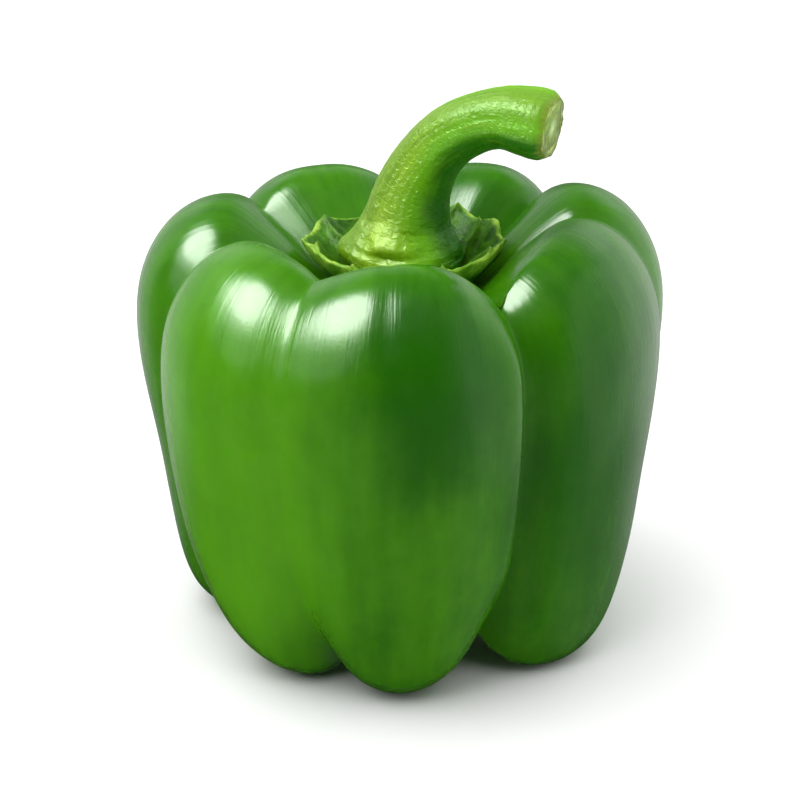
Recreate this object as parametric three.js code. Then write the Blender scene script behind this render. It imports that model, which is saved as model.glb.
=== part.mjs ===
// A green bell pepper as picked: a blocky seven-lobed fruit, the ragged calyx that
// sits in the hollow of its top, and the thick bent stem that grows out of the calyx.
//
// Millimetres, +Z up. The front is -Y and the right is +X. The fruit stands on the
// small flat spots worn on the feet of its lowest lobes, which lie in the plane z = 0.
// All three pieces are lofts: a stack of closed rings of points, skinned and capped.
import * as THREE from "three";
import { LoftGeometry } from "three/addons/geometries/LoftGeometry.js";

const { degToRad, euclideanModulo, lerp, smoothstep } = THREE.MathUtils;
const FULL_TURN = 2 * Math.PI;

// ---- Driving dimensions: the fruit --------------------------------------------------

const FRUIT_RADIUS = 43.5; // from the axis to an average lobe, where the fruit is widest
const FRUIT_HEIGHT = 76; // from the surface it stands on to an average lobe's crest
const FLAT_SPOT_DEPTH = 0.9; // how much of each lowest foot is pressed flat
const LOBE_ROUNDNESS = 0.95; // 0 is a parabola across a lobe, 1 a half circle
const CREASE_WIDTH = degToRad(1.6); // over which the bottom of a furrow is rounded
const FURROW_LIMIT = 0.4; // the least a furrow leaves of the distance from the axis

// One lobe each, going round to the right from the front. turn is where its ridge
// stands and swing how far the ridge leans round by its foot, in degrees. reach is how
// far it stands out at the shoulder, crest how far its top rises, tuck how far its foot
// is drawn in and lift how far the foot is off the surface, each against the average
// lobe, in millimetres.
const LOBES = [
  { turn: 2, swing: -3, reach: 1.5, crest: 2, tuck: -0.5, lift: 0 },
  { turn: 72, swing: -14, reach: 1, crest: 1.5, tuck: -5.5, lift: 0 },
  { turn: 108, swing: -6, reach: 4.8, crest: 2, tuck: 0.5, lift: 1.5 },
  { turn: 149, swing: 3, reach: 2, crest: 0.3, tuck: 0, lift: 0 },
  { turn: 210, swing: -4, reach: 2, crest: 0.3, tuck: 0, lift: 0 },
  { turn: 258, swing: 4, reach: 3.6, crest: 1.2, tuck: -5.4, lift: 1.5 },
  { turn: 305, swing: 20, reach: 0.8, crest: 0.8, tuck: 0.5, lift: 0.2 },
];

// The furrow that follows each lobe, going the same way. Its depth is given on the
// shoulder, halfway down the side and round the foot, in millimetres.
const FURROWS = [
  { turn: 32, shoulder: 9.5, side: 8.5, foot: 13 },
  { turn: 92, shoulder: 3, side: 2.5, foot: 6 },
  { turn: 130, shoulder: 7, side: 6, foot: 12 },
  { turn: 178, shoulder: 7, side: 5, foot: 10 },
  { turn: 234, shoulder: 7, side: 7, foot: 12 },
  { turn: 282, shoulder: 7, side: 7, foot: 11 },
  { turn: 333, shoulder: 4, side: 2.5, foot: 9 },
];

// The outline of an average lobe cut through its ridge: distance from the axis, as a
// share of the radius, and height, as a share of the height. It runs from the floor of
// the hollow under the calyx, over the crest, down the side and round the foot to the
// nub that the flower left.
const RIDGE_OUTLINE = new THREE.SplineCurve([
  new THREE.Vector2(0.02, 0.83),
  new THREE.Vector2(0.1, 0.82),
  new THREE.Vector2(0.2, 0.825),
  new THREE.Vector2(0.34, 0.86),
  new THREE.Vector2(0.46, 0.93),
  new THREE.Vector2(0.62, 1.0),
  new THREE.Vector2(0.82, 0.96),
  new THREE.Vector2(0.96, 0.84),
  new THREE.Vector2(1.0, 0.68),
  new THREE.Vector2(0.985, 0.48),
  new THREE.Vector2(0.93, 0.27),
  new THREE.Vector2(0.83, 0.1),
  new THREE.Vector2(0.7, 0.02),
  new THREE.Vector2(0.55, 0.0),
  new THREE.Vector2(0.36, 0.035),
  new THREE.Vector2(0.17, 0.115),
  new THREE.Vector2(0.09, 0.13),
  new THREE.Vector2(0.03, 0.115),
]);

// Where the hollow's floor, the crest, shoulder, side, waist, foot and nub lie along
// that outline, 0 to 1.
const AT = { floor: 0, crest: 0.24, shoulder: 0.37, side: 0.52, waist: 0.62, foot: 0.83, nub: 1 };

const FRUIT_RINGS = 38;
const COLUMNS_PER_HALF_LOBE = 6;
const COLUMN_CROWDING = 0.6; // 0 spaces a lobe's columns evenly, 1 crowds the furrows most

// ---- Driving dimensions: the stem ---------------------------------------------------

// The middle of the stem, from its foot in the calyx to the cut end.
const STEM_LINE = new THREE.CatmullRomCurve3([
  new THREE.Vector3(0.7, 0, 65.3),
  new THREE.Vector3(0.7, 0, 69),
  new THREE.Vector3(1.5, -0.3, 76),
  new THREE.Vector3(2.8, -1, 81.5),
  new THREE.Vector3(6.9, -3.5, 88.6),
  new THREE.Vector3(11.5, -6, 92.3),
  new THREE.Vector3(16.5, -8.5, 94.2),
  new THREE.Vector3(20.5, -10.3, 94.1),
  new THREE.Vector3(24.3, -12, 93.6),
]);

// How thick the stem is: share of its length and radius in millimetres. It flares into
// a collar at the foot, is thinnest over the bend and swells again towards the cut.
const COLLAR_RADIUS = 9.8;
const STEM_RADIUS = [
  [0, 8.6],
  [0.03, 9.6],
  [0.1, COLLAR_RADIUS],
  [0.15, 8.6],
  [0.21, 7.1],
  [0.32, 6.15],
  [0.48, 5.35],
  [0.64, 5],
  [0.78, 4.9],
  [0.92, 5.7],
  [0.97, 5.7],
  [1, 4.8],
];

const STEM_RIDGES = 5; // soft ribs that run the length of the stem
const STEM_RIDGE_DEPTH = 0.03; // as a share of the radius
const STEM_RINGS = 36;
const STEM_COLUMNS = 30;

// ---- Driving dimensions: the calyx --------------------------------------------------

// The top edge of the calyx, going round to the right from the front: turn in degrees,
// distance from the middle of the stem's foot and height in millimetres. The peaks are
// its worn-down tips.
const CALYX_RIM = [
  [8, 16.8, 70.2],
  [30, 17.1, 70.6],
  [52, 17.1, 71.3],
  [76, 17.0, 72.2],
  [92, 16.6, 70.4],
  [110, 16.6, 72.4],
  [127, 16.4, 70.6],
  [147, 17.3, 71.6],
  [172, 16.6, 69.8],
  [200, 17.2, 69.6],
  [219, 17.3, 69.6],
  [231, 18.1, 70.8],
  [246, 16.9, 69.4],
  [262, 17.4, 70.4],
  [285, 17.4, 71.8],
  [310, 17.3, 71.6],
  [335, 17, 70.4],
];

const CALYX_THICKNESS = 1.7; // of its wall
const CALYX_LIP = 0.7; // how wide the top of the wall is
const CALYX_DISH = 0.1; // how much the floor sinks from its middle, and again underneath
const CALYX_GAP = 0.35; // between the calyx and the stem's foot
const CALYX_STEEPNESS = 0.9; // under 1 the wall rises fastest near the floor
const WALL_STEPS = [0.12, 0.4, 0.7]; // where the wall has its rings, from floor to lip
const CALYX_COLUMNS = 84;

// ---- Rings --------------------------------------------------------------------------

// The point at a distance from the axis, a turn from the front and a height.
function place(radius, turn, height) {
  return new THREE.Vector3(radius * Math.sin(turn), -radius * Math.cos(turn), height);
}

// Goes from value to value through keys, level at each key. stops is [[key, value], ...].
function through(stops, key) {
  const next = stops.findIndex(([at]) => at >= key);
  if (next <= 0) return stops[next === 0 ? 0 : stops.length - 1][1];
  const [[from, before], [to, after]] = [stops[next - 1], stops[next]];
  return lerp(before, after, smoothstep(key, from, to));
}

// Skins the rings and caps both ends.
function loft(name, rings, color, roughness) {
  const geometry = new LoftGeometry(rings, { capStart: true, capEnd: true });
  const material = new THREE.MeshStandardMaterial({ color, roughness, metalness: 0 });
  const mesh = new THREE.Mesh(geometry, material);
  mesh.name = name;
  return mesh;
}

// ---- Fruit --------------------------------------------------------------------------

// How far the surface falls from ridge to furrow, 0 to 1, at an angle from a furrow.
function fall(fromFurrow, halfWidth) {
  const rounded = (angle) => Math.hypot(angle, CREASE_WIDTH) - CREASE_WIDTH;
  const across = 1 - rounded(fromFurrow) / rounded(halfWidth);
  const arc = (x) => 1 - Math.sqrt(1 - (LOBE_ROUNDNESS * x) ** 2);
  return arc(across) / arc(1);
}

// The columns of the mesh: for each, its turn, the furrow it is nearest, how far it has
// fallen into it, and the lobe on each side with the share of the farther one.
function columns() {
  const around = (list, i) => list[euclideanModulo(i, list.length)];
  const turnOf = (list, i) => degToRad(around(list, i).turn) + Math.floor(i / list.length) * FULL_TURN;
  const made = [];
  for (let i = 0; i < LOBES.length; i++) {
    for (const side of [-1, 1]) {
      const edge = side < 0 ? i - 1 : i;
      const ridge = turnOf(LOBES, i);
      const halfWidth = Math.abs(turnOf(FURROWS, edge) - ridge);
      const lobeWidth = Math.abs(turnOf(LOBES, i + side) - ridge);
      for (let n = 0; n < COLUMNS_PER_HALF_LOBE; n++) {
        // The left half starts at the furrow, the right half at the ridge.
        const share = (side < 0 ? COLUMNS_PER_HALF_LOBE - n : n) / COLUMNS_PER_HALF_LOBE;
        const out = halfWidth * lerp(share, Math.sin((share * Math.PI) / 2), COLUMN_CROWDING);
        made.push({
          turn: ridge + side * out,
          furrow: around(FURROWS, edge),
          fallen: fall(halfWidth - out, halfWidth),
          near: LOBES[i],
          far: around(LOBES, i + side),
          share: smoothstep(out, 0, lobeWidth),
        });
      }
    }
  }
  return made;
}

function fruitPoint(column, along) {
  const outline = RIDGE_OUTLINE.getPointAt(along);
  const tangent = RIDGE_OUTLINE.getTangentAt(along);
  const own = (key) => lerp(column.near[key], column.far[key], column.share);
  const reach = through([[AT.floor, 0], [AT.shoulder, 1], [AT.waist, 0]], along) * own("reach");
  const crest = through([[AT.floor, 0], [AT.crest, 1], [AT.side, 0]], along) * own("crest");
  const swing = through([[AT.side, 0], [AT.foot, 1]], along) * degToRad(own("swing"));
  const low = through([[AT.side, 0], [AT.foot, 1], [AT.nub, 0]], along);
  const { shoulder, side, foot } = column.furrow;
  const depth = column.fallen * through(
    [[AT.floor, 0], [AT.crest, shoulder], [AT.side, side], [AT.foot, foot], [AT.nub, 0]],
    along,
  );
  const radius = outline.x * FRUIT_RADIUS + reach - low * own("tuck");
  const height = outline.y * FRUIT_HEIGHT + crest + low * own("lift") - FLAT_SPOT_DEPTH;
  // The outline runs down the outside, so its inward normal is its tangent turned right.
  const run = new THREE.Vector2(tangent.x * FRUIT_RADIUS, tangent.y * FRUIT_HEIGHT).normalize();
  return place(
    Math.max(radius + run.y * depth, outline.x * FRUIT_RADIUS * FURROW_LIMIT),
    column.turn + swing,
    Math.max(height - run.x * depth, 0),
  );
}

function fruit() {
  const across = columns();
  const rings = [];
  for (let ring = 0; ring < FRUIT_RINGS; ring++) {
    const along = ring / (FRUIT_RINGS - 1);
    rings.push(across.map((column) => fruitPoint(column, along)).reverse());
  }
  return loft("fruit", rings, 0x3d8f12, 0.22);
}

// ---- Stem ---------------------------------------------------------------------------

// The stem's radius at a share of its length, on a smooth curve through its sizes.
function stemRadius(along) {
  const sizes = new THREE.SplineCurve(STEM_RADIUS.map(([at, radius]) => new THREE.Vector2(at, radius)));
  const next = Math.max(1, STEM_RADIUS.findIndex(([at]) => at >= along));
  const [from, to] = [STEM_RADIUS[next - 1][0], STEM_RADIUS[next][0]];
  return sizes.getPoint((next - 1 + (along - from) / (to - from)) / (STEM_RADIUS.length - 1)).y;
}

function stem() {
  const frames = STEM_LINE.computeFrenetFrames(STEM_RINGS - 1, false);
  const rings = [];
  for (let ring = 0; ring < STEM_RINGS; ring++) {
    const along = ring / (STEM_RINGS - 1);
    const middle = STEM_LINE.getPointAt(along);
    const points = [];
    for (let n = 0; n < STEM_COLUMNS; n++) {
      const angle = (n / STEM_COLUMNS) * FULL_TURN;
      const radius = stemRadius(along) * (1 + STEM_RIDGE_DEPTH * Math.cos(STEM_RIDGES * angle));
      const point = middle.clone();
      point.addScaledVector(frames.normals[ring], radius * Math.cos(angle));
      point.addScaledVector(frames.binormals[ring], radius * Math.sin(angle));
      points.push(point);
    }
    rings.push(points);
  }
  return loft("stem", rings, 0x8ab52a, 0.38);
}

// ---- Calyx --------------------------------------------------------------------------

// The calyx's wall cut through at a column, from the middle of its floor up the inside,
// over the lip and back underneath: distances from the middle and heights.
function calyxWall(lip) {
  const foot = COLLAR_RADIUS * (1 + STEM_RIDGE_DEPTH) + CALYX_GAP;
  const floor = STEM_LINE.points[0].z - CALYX_GAP;
  const inside = WALL_STEPS.map((share) => [
    lerp(foot, lip.radius, share),
    lerp(floor, lip.height, share ** CALYX_STEEPNESS),
  ]);
  const below = ([radius, height]) => [radius + CALYX_LIP, height - CALYX_THICKNESS];
  return [
    [1, floor],
    [foot * 0.6, floor - CALYX_DISH],
    [foot * 0.95, floor - CALYX_DISH],
    ...inside,
    [lip.radius - CALYX_LIP, lip.height - CALYX_DISH],
    [lip.radius, lip.height],
    [lip.radius + CALYX_DISH, lip.height - CALYX_LIP],
    ...inside.map(below).reverse(),
    [foot * 0.8, floor - CALYX_THICKNESS],
    [foot * 0.5, floor - CALYX_THICKNESS - CALYX_DISH],
    [1, floor - CALYX_THICKNESS - 2 * CALYX_DISH],
  ];
}

function calyx() {
  const edge = new THREE.CatmullRomCurve3(
    CALYX_RIM.map(([turn, radius, height]) => place(radius, degToRad(turn), height)),
    true,
  );
  const walls = [];
  for (let n = 0; n < CALYX_COLUMNS; n++) {
    const point = edge.getPoint(n / CALYX_COLUMNS);
    const turn = Math.atan2(point.x, -point.y);
    const wall = calyxWall({ radius: Math.hypot(point.x, point.y), height: point.z });
    walls.push(wall.map(([radius, height]) => place(radius, turn, height)));
  }
  const rings = walls[0].map((_, row) => walls.map((wall) => wall[row]).reverse());
  const mesh = loft("calyx", rings, 0x6fa826, 0.45);
  mesh.position.setX(STEM_LINE.points[0].x);
  return mesh;
}

// The fruit, calyx and stem, moved sideways so that the middle of what they cover on
// the surface is the origin.
const pepper = new THREE.Group();
pepper.add(fruit(), calyx(), stem());
const middle = new THREE.Box3().setFromObject(pepper, true).getCenter(new THREE.Vector3());
pepper.position.set(-middle.x, -middle.y, 0);
export default pepper;
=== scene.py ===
import math

import bpy
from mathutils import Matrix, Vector, noise


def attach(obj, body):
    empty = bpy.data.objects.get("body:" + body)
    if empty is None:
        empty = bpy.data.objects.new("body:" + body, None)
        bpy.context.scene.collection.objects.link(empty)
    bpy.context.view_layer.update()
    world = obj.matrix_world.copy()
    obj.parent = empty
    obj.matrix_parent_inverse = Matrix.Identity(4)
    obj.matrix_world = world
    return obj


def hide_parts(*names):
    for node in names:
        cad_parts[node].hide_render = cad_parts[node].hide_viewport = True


# A green bell pepper standing on its feet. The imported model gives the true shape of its
# three pieces. Here each is copied, smoothed and worked over: the fruit gets its shallow
# waves and pleats, the calyx its folds and ragged lip, the stem its ribs and its cut end.
# Metres, +Z up, the front is -Y. Turns are degrees round to the right from the front.
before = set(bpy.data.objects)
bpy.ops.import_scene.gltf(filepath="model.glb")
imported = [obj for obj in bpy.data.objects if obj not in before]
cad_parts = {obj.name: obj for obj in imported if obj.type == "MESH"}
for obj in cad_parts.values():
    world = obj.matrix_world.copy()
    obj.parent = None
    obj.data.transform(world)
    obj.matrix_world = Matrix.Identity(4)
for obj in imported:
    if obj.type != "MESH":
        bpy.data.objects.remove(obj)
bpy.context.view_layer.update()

MM = 0.001
AXIS = Vector((-0.04, 0.96, 0)) * MM  # the upright line that the lobes stand round
STEM_FOOT = Vector((AXIS.x + 0.7 * MM, AXIS.y, 0))  # the upright line the stem rises from
STEM_RADIUS = 5.4 * MM


# ---- Shaders ------------------------------------------------------------------------


class Socket:
    """An output of a node that can be used in sums like a number."""

    def __init__(self, material, output):
        self.material = material
        self.output = output

    def math(self, operation, *values):
        return self.material.math(operation, *values)

    def __add__(self, other):
        return self.math("ADD", self, other)

    def __radd__(self, other):
        return self.math("ADD", other, self)

    def __sub__(self, other):
        return self.math("SUBTRACT", self, other)

    def __rsub__(self, other):
        return self.math("SUBTRACT", other, self)

    def __mul__(self, other):
        return self.math("MULTIPLY", self, other)

    def __rmul__(self, other):
        return self.math("MULTIPLY", other, self)


class Material:
    """The nodes of a material or a world, and the one way to add a node to them."""

    def __init__(self, data):
        self.data = data
        self.data.use_nodes = True
        self.data.node_tree.nodes.clear()

    def node(self, kind, settings, inputs, output=0):
        """Adds a node, sets it up, fills or links its sockets and gives one output."""
        made = self.data.node_tree.nodes.new("ShaderNode" + kind)
        for name, value in settings.items():
            setattr(made, name, value)
        for name, value in inputs.items():
            if isinstance(value, Socket):
                self.data.node_tree.links.new(value.output, made.inputs[name])
            else:
                made.inputs[name].default_value = value
        return Socket(self, made.outputs[output])

    def math(self, operation, *values):
        return self.node("Math", {"operation": operation}, dict(enumerate(values)))

    def place(self):
        return self.node("TexCoord", {}, {}, "Object")

    def attribute(self, name, output="Vector"):
        return self.node("Attribute", {"attribute_name": name}, {}, output)

    def parts(self, vector):
        """The x, y and z of a vector."""
        split = self.node("SeparateXYZ", {}, {0: vector})
        return [Socket(self, output) for output in split.output.node.outputs]

    def vector(self, x, y, z):
        return self.node("CombineXYZ", {}, {0: x, 1: y, 2: z})

    def vectors(self, operation, **sockets):
        """Vector Math, with its sockets named a, b and scale."""
        numbers = {"a": 0, "b": 1, "scale": 3}
        inputs = {numbers[name]: value for name, value in sockets.items()}
        return self.node("VectorMath", {"operation": operation}, inputs)

    def length(self, vector):
        return self.node("VectorMath", {"operation": "LENGTH"}, {0: vector}, 1)

    def noise(self, where, scale, detail=2.0, roughness=0.5):
        sockets = {"Vector": where, "Scale": scale, "Detail": detail, "Roughness": roughness}
        return self.node("TexNoise", {}, sockets)

    def rise(self, value, low, high):
        """0 below low, 1 above high, smooth between."""
        settings = {"interpolation_type": "SMOOTHSTEP"}
        return self.node("MapRange", settings, {0: value, 1: low, 2: high})

    def near(self, where, middle, reach):
        """1 in the middle of an oval patch, smoothly 0 outside it; both in millimetres."""
        moved = self.vectors("SUBTRACT", a=where, b=Vector(middle) * MM)
        spread = Vector([1 / (size * MM) for size in reach])
        away = self.length(self.vectors("MULTIPLY", a=moved, b=spread))
        return 1 - self.rise(away, 0.35, 1.3)

    def mix(self, share, first, second):
        """Goes from the first colour to the second."""
        settings = {"data_type": "RGBA"}
        return self.node("Mix", settings, {0: share, 6: colour(first), 7: colour(second)}, 2)

    def bump(self, height, distance):
        return self.node("Bump", {}, {"Height": height, "Distance": distance})

    def finish(self, **shader):
        """Ends the material in one shader, with its sockets' names in small letters."""
        sockets = {}
        for name, value in shader.items():
            sockets[name.replace("_", " ").title().replace("Ior", "IOR")] = value
        self.end("Material", self.node("BsdfPrincipled", {}, sockets))
        return self.data

    def end(self, kind, shader):
        output = self.data.node_tree.nodes.new("ShaderNodeOutput" + kind)
        self.data.node_tree.links.new(shader.output, output.inputs["Surface"])


def colour(shade):
    return shade if isinstance(shade, Socket) else (*shade, 1)


def meridian(skin, across, along):
    """Coordinates in which a pattern is drawn out up and down the fruit."""
    x, y, z = skin.parts(skin.place())
    outward = skin.vectors("NORMALIZE", a=skin.vector(x - AXIS.x, y - AXIS.y, 0))
    spread = skin.vectors("SCALE", a=outward, scale=across)
    return skin.vectors("ADD", a=spread, b=skin.vector(0, 0, z * along))


def skin_material():
    skin = Material(bpy.data.materials.new("waxy green skin"))
    where = skin.place()
    broad = skin.noise(where, 38, 2)
    fine = skin.noise(where, 320, 3, 0.6)
    streaks = skin.noise(meridian(skin, 11, 45), 1.0, 3)
    ripe = skin.near(where, (-32, -30, 38), (26, 26, 42)) * 0.42
    # Darker patches on the front lobe, on the right front lobe and on the tops of the back right
    # lobes: partly the skin's own deeper green, partly painted shade.
    deep_green_and_painted_shade = skin.near(where, (5, -43, 64), (12, 16, 26)) * 0.42
    deep_green_and_painted_shade = deep_green_and_painted_shade + skin.near(where, (34, -26, 40), (24, 28, 52)) * 0.30
    deep_green_and_painted_shade = deep_green_and_painted_shade + skin.near(where, (24, 22, 74), (26, 26, 16)) * 0.18
    blotches = skin.noise(where, 130, 4, 0.65)
    pattern = broad * 0.5 + streaks * 0.4 + blotches * 0.3 + fine * 0.12
    light = skin.rise(ripe - deep_green_and_painted_shade + pattern, 0.15, 1.3)
    shade = skin.mix(light, (0.011, 0.096, 0.0004), (0.078, 0.298, 0.0016))
    hair = skin.noise(meridian(skin, 70, 130), 1.0, 3, 0.6)
    ripple = skin.noise(meridian(skin, 24, 60), 1.0, 2)
    grain = skin.noise(where, 1100, 3, 0.6)
    normal = skin.bump(hair * 0.4 + ripple * 0.4 + grain * 0.15, 0.00012)
    return skin.finish(
        base_color=shade,
        roughness=skin.rise(fine, 0.2, 0.8) * 0.08 + 0.18,
        ior=1.45,
        coat_weight=0.15,
        coat_roughness=0.16,
        normal=normal,
    )


def stem_material(length):
    """Read from the unrolled stem: x is less than 0 on its left and upper side, where the colour is
    painted pale as if lit, and more than 0 on the right and lower side, painted dark as shade.
    """
    stalk = Material(bpy.data.materials.new("striped stem"))
    straight = stalk.attribute("straight")
    cut = stalk.attribute("cut", "Fac")
    x, y, z = stalk.parts(straight)
    lines = stalk.noise(stalk.vector(x, y, z * 0.06), 1400, 3, 0.6)
    broad = stalk.noise(stalk.vector(x, y, z * 0.3), 260, 3)
    patches = stalk.noise(stalk.place(), 240, 4, 0.65)
    bent = stalk.rise(z, length * 0.35, length * 0.75)
    collar = 1 - stalk.rise(z, 0.005, 0.015)
    # Painted light and shade over the stem's own yellow-green: pale on the left and upper side, mid
    # green on the front, dark green on the right and lower side and further round along the bent
    # arm; near the collar the pale side reaches further round, and the very top is a little darker.
    painted_shade_side = x + (broad - 0.5) * 0.003 + (lines - 0.5) * 0.0014 + bent * 0.0038 - collar * 0.0022
    fresh = stalk.mix(stalk.rise(broad, 0.3, 0.7), (0.21, 0.42, 0.004), (0.33, 0.55, 0.014))
    fresh = stalk.mix(stalk.rise(painted_shade_side, -0.0042, 0.0006), fresh, (0.150, 0.450, 0.0016))
    fresh = stalk.mix(stalk.rise(painted_shade_side, 0.0002, 0.0036), fresh, (0.017, 0.150, 0.0005))
    fresh = stalk.mix(stalk.rise(0 - x, 0.0034, 0.0054) * 0.6, fresh, (0.09, 0.22, 0.0020))
    fresh = stalk.mix(stalk.rise(lines, 0.5, 0.8) * 0.35, fresh, (0.30, 0.48, 0.02))
    fresh = stalk.mix(stalk.rise(patches, 0.62, 0.8) * 0.2, fresh, (0.11, 0.22, 0.004))
    dry = stalk.rise(z + (lines - 0.5) * 0.0012, length - 0.0009, length - 0.0001) * (1 - cut)
    fresh = stalk.mix(dry * 0.6, fresh, (0.19, 0.24, 0.02))
    fibres = stalk.noise(stalk.place(), 900, 4, 0.6)
    pith = stalk.length(stalk.vector(x, y, 0))
    core = 1 - stalk.rise(pith + (fibres - 0.5) * 0.003, 0.0014, 0.0026)
    ring = stalk.rise(pith + (fibres - 0.5) * 0.0008, 0.0037, 0.0041)
    face = stalk.mix(stalk.rise(fibres, 0.4, 0.6), (0.17, 0.26, 0.012), (0.58, 0.66, 0.11))
    face = stalk.mix(core * 0.85, face, (0.58, 0.80, 0.34))
    face = stalk.mix(ring * 0.9, face, (0.80, 0.88, 0.30))
    shade = stalk.mix(cut, fresh, face)
    wrinkles = stalk.noise(stalk.vector(x, y, z * 2.2), 620, 4, 0.6)
    grain = lines * 0.3 + wrinkles * 0.6 + stalk.noise(straight, 1500, 2) * 0.2 + fibres * cut * 1.2
    return stalk.finish(
        base_color=shade,
        roughness=stalk.rise(patches, 0.3, 0.7) * 0.12 + 0.28 + cut * 0.35,
        ior=1.45,
        normal=stalk.bump(grain, 0.00045),
    )


def calyx_material():
    leaf = Material(bpy.data.materials.new("calyx leaf"))
    where = leaf.place()
    lip = leaf.attribute("lip", "Fac")
    sheen_ridge = leaf.attribute("sheen_ridge", "Fac")
    mottle = leaf.noise(where, 420, 4, 0.6)
    fine = leaf.noise(where, 1700, 3)
    inner = leaf.mix(leaf.rise(mottle, 0.3, 0.7), (0.010, 0.062, 0.0008), (0.058, 0.195, 0.003))
    # The crests of the folds are painted paler: a painted sheen where they catch the light.
    inner = leaf.mix(sheen_ridge * 0.4, inner, (0.12, 0.31, 0.010))
    edge = leaf.mix(leaf.rise(mottle, 0.35, 0.65), (0.12, 0.30, 0.010), (0.30, 0.50, 0.050))
    shade = leaf.mix(lip, inner, edge)
    brown = leaf.rise(leaf.noise(where, 1150, 2), 0.64, 0.72) * leaf.rise(lip, 0.1, 0.6)
    shade = leaf.mix(brown * 0.75, shade, (0.16, 0.09, 0.015))
    return leaf.finish(
        base_color=shade,
        roughness=leaf.rise(mottle, 0.3, 0.7) * 0.15 + 0.38,
        specular_ior_level=0.16,
        normal=leaf.bump(mottle * 0.7 + fine * 0.3, 0.0005),
    )


# ---- Meshes -------------------------------------------------------------------------


def merged_copy(node, name):
    """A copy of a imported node, merged into one closed skin of quads and left selected."""
    piece = bpy.data.objects.new(name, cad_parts[node].data.copy())
    piece.data.name = name
    piece.data.materials.clear()
    bpy.context.scene.collection.objects.link(piece)
    bpy.ops.object.select_all(action="DESELECT")
    piece.select_set(True)
    bpy.context.view_layer.objects.active = piece
    bpy.ops.object.mode_set(mode="EDIT")
    bpy.ops.mesh.select_all(action="SELECT")
    bpy.ops.mesh.remove_doubles(threshold=0.001 * MM)
    bpy.ops.mesh.tris_convert_to_quads()
    bpy.ops.object.mode_set(mode="OBJECT")
    return piece


def subdivide(piece, levels):
    smoother = piece.modifiers.new("smooth", "SUBSURF")
    smoother.levels = levels
    smoother.render_levels = levels
    bpy.ops.object.modifier_apply(modifier="smooth")
    bpy.ops.object.shade_smooth()


def steps_from(mesh, start):
    """For each point of a mesh, how many edges it is from the start points."""
    beside = {vertex.index: [] for vertex in mesh.vertices}
    for edge in mesh.edges:
        first, second = edge.vertices
        beside[first].append(second)
        beside[second].append(first)
    steps = dict.fromkeys(start, 0)
    reached = list(start)
    for point in reached:
        for other in beside[point]:
            if other not in steps:
                steps[other] = steps[point] + 1
                reached.append(other)
    return [steps[vertex.index] for vertex in mesh.vertices]


def note(piece, name, values):
    """Keeps a number or a vector for each point, for a material to read."""
    flat = not isinstance(values[0], Vector)
    layer = piece.data.attributes.new(name, "FLOAT" if flat else "FLOAT_VECTOR", "POINT")
    if flat:
        layer.data.foreach_set("value", values)
    else:
        layer.data.foreach_set("vector", [part for value in values for part in value])


def noted(piece, name):
    layer = piece.data.attributes[name].data
    return [entry.value if hasattr(entry, "value") else entry.vector.copy() for entry in layer]


def shift(piece, moves):
    for vertex, move in zip(piece.data.vertices, moves):
        vertex.co += move


def bell(distance, width):
    """1 at no distance, falling smoothly to nothing over a few widths."""
    return math.exp(-((distance / width) ** 2))


def blade(distance, width):
    """Like a bell, but with a sharp crest."""
    return math.exp(-abs(distance) / width)


def ramp(value, low, high):
    share = min(max((value - low) / (high - low), 0), 1)
    return share * share * (3 - 2 * share)


def turn_of(point, axis):
    """Degrees round to the right from the front."""
    return math.degrees(math.atan2(point.x - axis.x, axis.y - point.y))


def apart(first, second):
    """Degrees between two turns, -180 to 180."""
    return (first - second + 180) % 360 - 180


def around(turn, size):
    """A point on a circle, at which a pattern that goes round the pepper is read."""
    turn = math.radians(turn)
    return Vector((size * math.sin(turn), size * math.cos(turn), 0))


# ---- Fruit --------------------------------------------------------------------------

# Shallow pleats that part the gloss on the front lobes: the turn of each, the height of
# its middle, how wide it is in degrees, how long it is and how deep, in millimetres. The
# second is a low swelling, which fills the top of a furrow.
PLEATS = [(-3.2, 71, 2.2, 9, 0.22), (-26, 64, 4, 14, -0.4)]

# The edge of the front lobe leans over the furrow to its right, and the flank of the lobe
# beyond comes to meet it: the turn of each, and how far it moves, in millimetres.
EDGE_TURN = 27
EDGE_MOVE = Vector((1.75, -0.5, 0))
FLANK_TURN = 37
FLANK_MOVE = Vector((-0.8, 0.5, 0))


def fruit():
    piece = merged_copy("fruit", "fruit_skin")
    subdivide(piece, 2)
    moves = []
    for vertex in piece.data.vertices:
        point = vertex.co / MM
        turn = turn_of(vertex.co, AXIS)
        waves = noise.noise(around(turn, 5.5) + Vector((0, 0, point.z / 45)))
        dents = noise.noise(point / 22)
        out = 0.22 * waves + 0.3 * dents
        for at, level, width, reach, depth in PLEATS:
            out -= depth * bell(apart(turn, at), width) * bell(point.z - level, reach)
        belly = ramp(point.z, 6, 25) * (1 - ramp(point.z, 60, 78))
        lean = EDGE_MOVE * bell(turn - EDGE_TURN, 5.5 if turn < EDGE_TURN else 3)
        lean += FLANK_MOVE * bell(turn - FLANK_TURN, 3)
        moves.append((vertex.normal * out + lean * belly) * MM)
    shift(piece, moves)
    return piece


# ---- Stem ---------------------------------------------------------------------------

CUT_RINGS = [0.35, 0.5, 0.9, 0.9, 0.9]  # widths of the rings the cut face is made of


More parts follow.
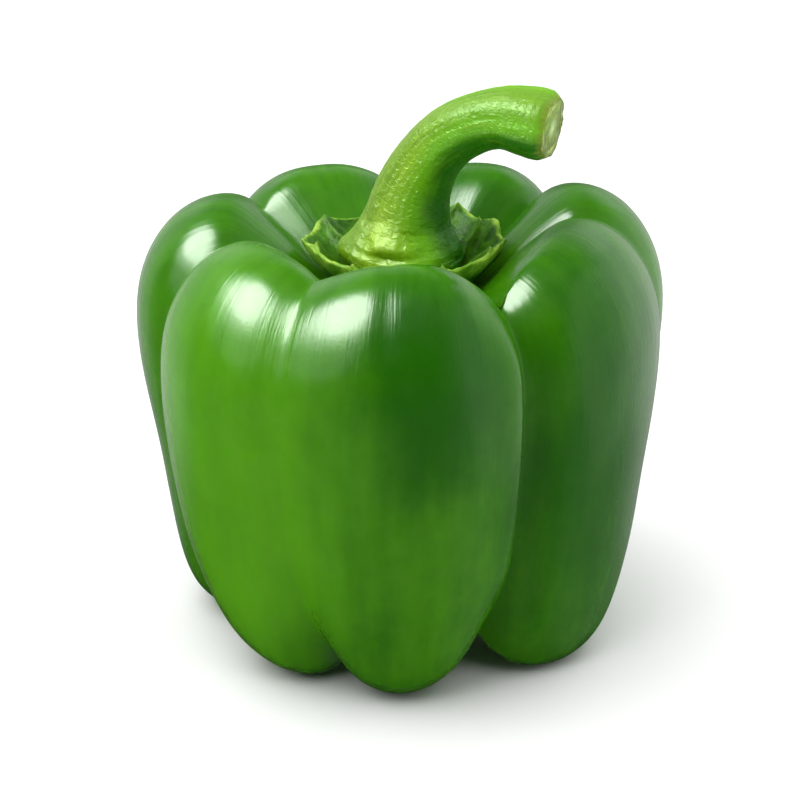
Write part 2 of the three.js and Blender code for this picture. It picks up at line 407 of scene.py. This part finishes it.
def open_cut(piece):
    """Makes the cut face of rings, one in another, with a firm edge round it."""
    mesh = piece.data
    steps = steps_from(mesh, foot_of(mesh))
    last = max(steps)
    for polygon in mesh.polygons:
        polygon.select = all(steps[point] == last for point in polygon.vertices)
    bpy.ops.object.mode_set(mode="EDIT")
    bpy.ops.mesh.select_mode(type="FACE")
    bpy.ops.mesh.dissolve_faces()
    bpy.ops.transform.edge_crease(value=0.7)
    for width in CUT_RINGS:
        bpy.ops.mesh.inset(thickness=width * MM)
    bpy.ops.mesh.poke()
    bpy.ops.object.mode_set(mode="OBJECT")
    return last


def foot_of(mesh):
    lowest = min(vertex.co.z for vertex in mesh.vertices)
    return [vertex.index for vertex in mesh.vertices if vertex.co.z < lowest + 0.01 * MM]


def unroll(piece, last):
    """Notes where each point would be on a straight, even stem, and gives its length."""
    mesh = piece.data
    steps = steps_from(mesh, foot_of(mesh))
    rings = [[] for _ in range(last + 1)]
    for vertex in mesh.vertices:
        rings[min(steps[vertex.index], last)].append(vertex.co)
    middles = [sum(ring, Vector()) / len(ring) for ring in rings]
    frames = []
    along = 0.0
    side = Vector((1, 0, 0))
    for ring, middle in enumerate(middles):
        run = middles[min(ring + 1, last)] - middles[max(ring - 1, 0)]
        run.normalize()
        side = (side - run * side.dot(run)).normalized()
        along += (middle - middles[max(ring - 1, 0)]).length
        frames.append((middle, side, run.cross(side), along))
    straight = []
    for vertex in mesh.vertices:
        middle, side, across, along = frames[min(steps[vertex.index], last)]
        out = vertex.co - middle
        flat = Vector((out.dot(side), out.dot(across), 0))
        if steps[vertex.index] <= last:
            flat = flat.normalized() * STEM_RADIUS
        straight.append(flat + Vector((0, 0, along)))
    note(piece, "straight", straight)
    note(piece, "cut", [float(step > last) for step in steps])
    return frames[-1][3]


# The flange of the collar on the left and the notch in it on the right: the turn of each,
# how wide it is in degrees, its height, its reach up and down, and how far it stands out.
COLLAR = [(-95, 32, 69.2, 1.8, 1.5), (-15, 24, 70.3, 0.9, -1.1)]


def stem():
    piece = merged_copy("stem", "stem_stalk")
    last = open_cut(piece)
    length = unroll(piece, last)
    subdivide(piece, 2)
    moves = []
    points = zip(piece.data.vertices, noted(piece, "straight"), noted(piece, "cut"))
    for vertex, straight, cut in points:
        flat = Vector((straight.x, straight.y, 0)) / MM
        along = straight.z / MM
        flutes = noise.noise(flat / 1.5 + Vector((0, 0, along / 26)))
        swells = noise.noise(flat / 4 + Vector((7, 0, along / 12)))
        dimples = noise.noise(flat / 1.3 + Vector((0, 9, along / 1.1)))
        lumps = noise.noise(flat / 2.2 + Vector((3, 3, along / 2.5)))
        low = 1 - ramp(along, 5, 14)
        out = 0.17 * flutes + 0.3 * swells + 0.05 * dimples + 0.5 * low * lumps
        turn = turn_of(vertex.co, STEM_FOOT)
        for at, width, level, reach, far in COLLAR:
            out += far * bell(apart(turn, at), width) * bell(vertex.co.z / MM - level, reach)
        out *= 1 - cut
        rough = noise.noise(vertex.co / MM / 0.8)
        out += cut * (0.18 * rough - 0.25 * bell(flat.length - 2.6, 1.2))
        moves.append(vertex.normal * out * MM)
    shift(piece, moves)
    return piece, length


# ---- Calyx --------------------------------------------------------------------------

# Folds that stand up on the inside of the calyx, from the stem's collar to the rim: the
# turn at the collar and at the rim, and how high they stand at each end, in millimetres.
FOLDS = [
    (-116, -128, 3.6, 0.8),
    (-72, -62, 1.5, 1.6),
    (-20, -30, 1.2, 1.5),
    (30, 22, 1.2, 1.5),
    (66, 58, 1.6, 1.2),
    (101, 126, 3.8, 0.9),
    (150, 146, 2.0, 1.2),
    (-160, -168, 2.0, 1.2),
]


BOTTOM_LEVEL = 64.5 * MM  # the bottom of the cup is above this inside, and below it outside


def calyx():
    """Folds the cup by rows, counted from the middle inside, over the rim and down again."""
    piece = merged_copy("calyx", "calyx_cup")
    mesh = piece.data
    bottom = []
    for vertex in mesh.vertices:
        if (vertex.co - STEM_FOOT).xy.length < 1.5 * MM and vertex.co.z > BOTTOM_LEVEL:
            bottom.append(vertex.index)
    note(piece, "row", [float(step) for step in steps_from(mesh, bottom)])
    subdivide(piece, 3)
    moves = []
    lips = []
    sheen_ridges = []
    for vertex, row in zip(mesh.vertices, noted(piece, "row")):
        turn = turn_of(vertex.co, STEM_FOOT)
        out = vertex.co - STEM_FOOT
        out.z = 0
        out.normalize()
        inside = ramp(row, 1.8, 3) * (1 - ramp(row, 6, 7))
        wall = ramp(row, 2.5, 6) * (1 - ramp(row, 8, 11.5))
        lip = ramp(row, 5.8, 6.5) * (1 - ramp(row, 8.2, 9.2))
        share = ramp(row, 2.5, 6.5)
        up = 0.0
        sheen_ridge = 0.0
        for collar, rim, near, far in FOLDS:
            middle = collar + apart(rim, collar) * share
            crest = blade(apart(turn, middle), 3.5 - share)
            up += crest * (near + (far - near) * share) * inside
            sheen_ridge += crest * inside
        crumple = noise.noise(around(turn, 3.4) + Vector((0, 0, row / 5)))
        small = noise.noise(around(turn, 9) + Vector((5, 0, row / 2)))
        ticks = noise.noise(around(turn, 15) + Vector((0, 5, 0)))
        aside = 0.7 * wall * crumple + 0.3 * wall * small + 0.12 * lip * ticks
        raised = up + 0.5 * inside * (0.5 - abs(small)) + 0.25 * lip * small + 0.1 * lip * ticks
        moves.append((out * aside + Vector((0, 0, raised))) * MM)
        lips.append(lip)
        sheen_ridges.append(min(sheen_ridge, 1))
    shift(piece, moves)
    note(piece, "lip", lips)
    note(piece, "sheen_ridge", sheen_ridges)
    return piece


def stand_in(piece, node, material):
    """Lets a finished piece take the place of the node it was copied from."""
    piece.data.materials.append(material)
    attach(piece, "root")
    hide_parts(node)


stand_in(fruit(), "fruit", skin_material())
stand_in(calyx(), "calyx", calyx_material())
stalk_piece, stalk_length = stem()
stand_in(stalk_piece, "stem", stem_material(stalk_length))


# ---- Studio -------------------------------------------------------------------------


LAMP_TARGET = AXIS + Vector((0, 0, 50 * MM))
VIEW_HEIGHT = Vector((0, 0, 41.1 * MM))  # above the floor, where the camera looks
VIEW_DISTANCE = 385 * MM


def polar(turn, lift, distance):
    """A place seen from the fruit's foot: degrees round from the front and up, and metres."""
    turn = math.radians(turn)
    lift = math.radians(lift)
    flat = distance * math.cos(lift)
    return AXIS + Vector((flat * math.sin(turn), -flat * math.cos(turn), distance * math.sin(lift)))


def aim(thing, target):
    thing.rotation_euler = (target - thing.location).to_track_quat("-Z", "Y").to_euler()


def softbox(name, kind, turn, lift, distance, width, height, power):
    light = bpy.data.lights.new(name, "AREA")
    light.shape = "ELLIPSE" if kind == "glint" else "RECTANGLE"
    light.size = width
    light.size_y = height
    light.energy = power
    lamp = bpy.data.objects.new(name, light)
    bpy.context.scene.collection.objects.link(lamp)
    lamp.location = polar(turn, lift, distance)
    lamp.visible_glossy = kind != "plain"
    lamp.visible_diffuse = kind != "glint"
    aim(lamp, LAMP_TARGET)


# The lamps: turn, lift, distance, width, height and power. The plain ones light the pepper
# but don't show in its gloss. The glints, which are soft ovals, show only as gloss.
LAMPS = [
    ("key", "plain", -72, 54, 0.75, 0.9, 0.9, 4.6),
    ("overhead", "plain", 0, 90, 1.8, 3, 3, 60),
    ("bright glint", "glint", -71, 55, 0.56, 0.38, 0.36, 5.4),
    ("soft glint", "glint", -71, 53, 0.60, 0.54, 0.52, 2.2),
    ("low glint", "glint", -60, 32, 0.64, 0.50, 0.50, 0.7),
    ("panel", "plain", 82, 12, 0.5, 0.66, 0.5, 1.0),
    ("panel glint", "glint", 84, 14, 0.5, 0.7, 0.85, 0.45),
    ("back", "both", 176, 42, 0.9, 1.3, 0.5, 0.7),
]


def floor():
    """A pale sheet that glows far out, so that it never ends in a dark line."""
    bpy.ops.object.select_all(action="DESELECT")
    bpy.ops.mesh.primitive_plane_add(size=6, location=(0, 0, 0))
    ground = bpy.context.object
    ground.name = "floor"
    sheet = Material(bpy.data.materials.new("pale floor"))
    speckle = sheet.noise(sheet.place(), 30, 3)
    paper = sheet.mix(speckle, (0.86, 0.86, 0.86), (0.88, 0.88, 0.88))
    away = sheet.length(sheet.place())
    glow = sheet.mix(sheet.rise(away, 0.7, 2.0), (0, 0, 0), (1, 1, 1))
    ground.data.materials.append(
        sheet.finish(
            base_color=paper,
            roughness=0.9,
            specular_ior_level=0.0,
            emission_color=glow,
            emission_strength=1.0,
        )
    )
    ground.visible_glossy = False


def dome():
    """A white backdrop all round, which only the camera sees."""
    bpy.ops.mesh.primitive_uv_sphere_add(segments=64, ring_count=32, radius=2.8, location=(0, 0, 0))
    backdrop = bpy.context.object
    backdrop.name = "backdrop"
    cloth = Material(bpy.data.materials.new("white backdrop"))
    folds = cloth.mix(cloth.noise(cloth.place(), 2, 2), (0.97, 0.97, 0.97), (1, 1, 1))
    white = cloth.finish(base_color=folds, emission_color=folds, emission_strength=1.0)
    backdrop.data.materials.append(white)
    backdrop.visible_diffuse = False
    backdrop.visible_glossy = False
    backdrop.visible_transmission = False
    backdrop.visible_shadow = False


def sky():
    """Dim air that is bright only behind the pepper, low down and on the right."""
    air = Material(bpy.data.worlds.new("studio"))
    bpy.context.scene.world = air.data
    x, y, z = air.parts(air.node("TexCoord", {}, {}, "Generated"))
    aside = air.math("ABSOLUTE", x)
    behind = air.rise(y, 0.0, 0.6) * (air.rise(aside, 0.05, 0.4) * 0.55 + 0.15)
    band = air.rise(z, -0.6, -0.35) * (1 - air.rise(z, 0.45, 0.75))
    glow = behind * band + air.rise(x, 0.3, 0.8) * 0.2 + 0.015
    air.end("World", air.node("Background", {}, {"Color": (1, 1, 1, 1), "Strength": glow}))


def camera():
    view = bpy.data.cameras.new("camera")
    view.lens = 100
    view.sensor_width = 36
    eye = bpy.data.objects.new("camera", view)
    bpy.context.scene.collection.objects.link(eye)
    eye.location = polar(0, 24, VIEW_DISTANCE) + VIEW_HEIGHT
    aim(eye, AXIS + VIEW_HEIGHT)
    bpy.context.scene.camera = eye
    bpy.context.scene.view_settings.view_transform = "Standard"


floor()
dome()
for lamp in LAMPS:
    softbox(*lamp)
sky()
camera()
